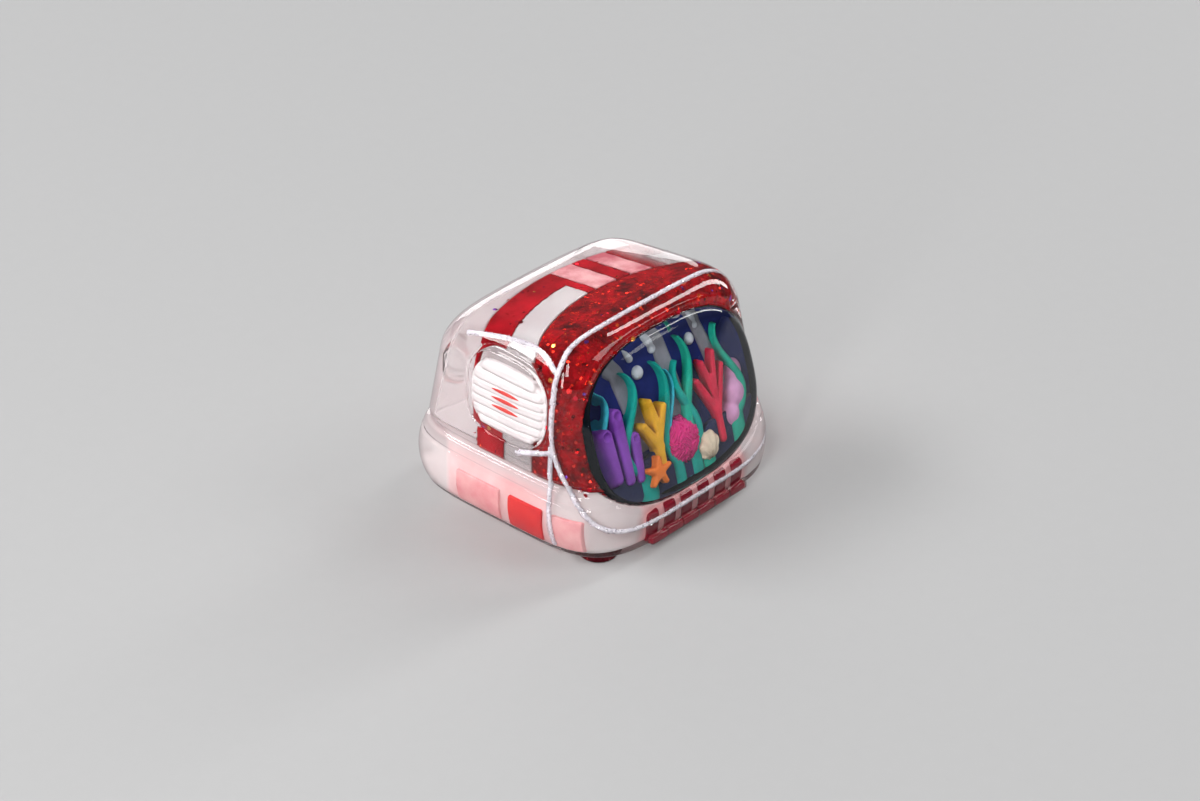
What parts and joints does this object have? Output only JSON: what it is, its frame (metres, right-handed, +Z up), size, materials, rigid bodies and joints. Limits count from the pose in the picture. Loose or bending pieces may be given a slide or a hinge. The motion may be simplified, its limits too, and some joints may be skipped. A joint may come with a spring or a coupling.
{
  "type": "artisan keycap",
  "caption": "Clear resin keycap shaped as a rounded retro television, with a domed screen over a relief, glitter piping, coloured pours and a cross-slot stem underneath.",
  "frame": {"origin": "middle of the footprint on the surface that the feet stand on", "axes": "+Z up, the screen faces -Y, +X to the right seen from the front"},
  "size_m": [0.0182, 0.0176, 0.0139],
  "materials": {
    "clear_resin": "clear gloss",
    "screen_lens": "clear gloss",
    "navy_tray": "gloss",
    "red_glitter": "glitter in clear resin",
    "pearl": "pearl gloss",
    "ruby_resin": "translucent gloss",
    "milk_resin": "milky translucent",
    "white_glitter": "fine glitter",
    "frosted_panel": "frosted",
    "red_line": "gloss",
    "red_bar": "translucent gloss",
    "rose_resin": "translucent gloss",
    "pink_resin": "translucent gloss",
    "stem_resin": "satin",
    "foot_glitter": "glitter",
    "star_orange": "painted relief",
    "shell_cream": "painted relief",
    "coral_magenta": "painted relief",
    "coral_crimson": "painted relief",
    "coral_mustard": "painted relief",
    "tube_purple": "painted relief",
    "sponge_lilac": "painted relief",
    "weed_teal": "painted relief",
    "weed_green": "painted relief",
    "weed_cyan": "painted relief",
    "bubble_pale": "painted relief",
    "bed_sand": "painted relief",
    "ray_grey": "painted relief"
  },
  "bodies": {
    "root": {"clear_body": "clear_resin", "screen_dome": "screen_lens", "screen_tray": "navy_tray", "glitter_bowl": "red_glitter", "pearl_hoop": "pearl", "red_hoop": "ruby_resin", "rose_patches": "rose_resin", "milk_core": "milk_resin", "frame_piping": "white_glitter", "left_piping": "white_glitter", "right_piping": "white_glitter", "left_vent": "frosted_panel", "right_vent": "frosted_panel", "left_vent_inlays": "red_line", "right_vent_inlays": "red_line", "front_bars": "red_bar", "rear_bars": "red_bar", "left_red_block": "red_bar", "right_red_block": "red_bar", "left_rose_blocks": "rose_resin", "right_rose_blocks": "rose_resin", "pink_base": "pink_resin", "stem_post": "stem_resin", "feet": "foot_glitter", "orange_star": "star_orange", "cream_shell": "shell_cream", "brain_coral": "coral_magenta", "fan_coral": "coral_crimson", "staghorn_coral": "coral_mustard", "purple_tubes": "tube_purple", "lilac_sponge": "sponge_lilac", "teal_weed": "weed_teal", "tall_weed": "weed_green", "cyan_weed": "weed_cyan", "bubbles": "bubble_pale", "sea_bed": "bed_sand", "light_rays": "ray_grey"}
  },
  "joints": []
}
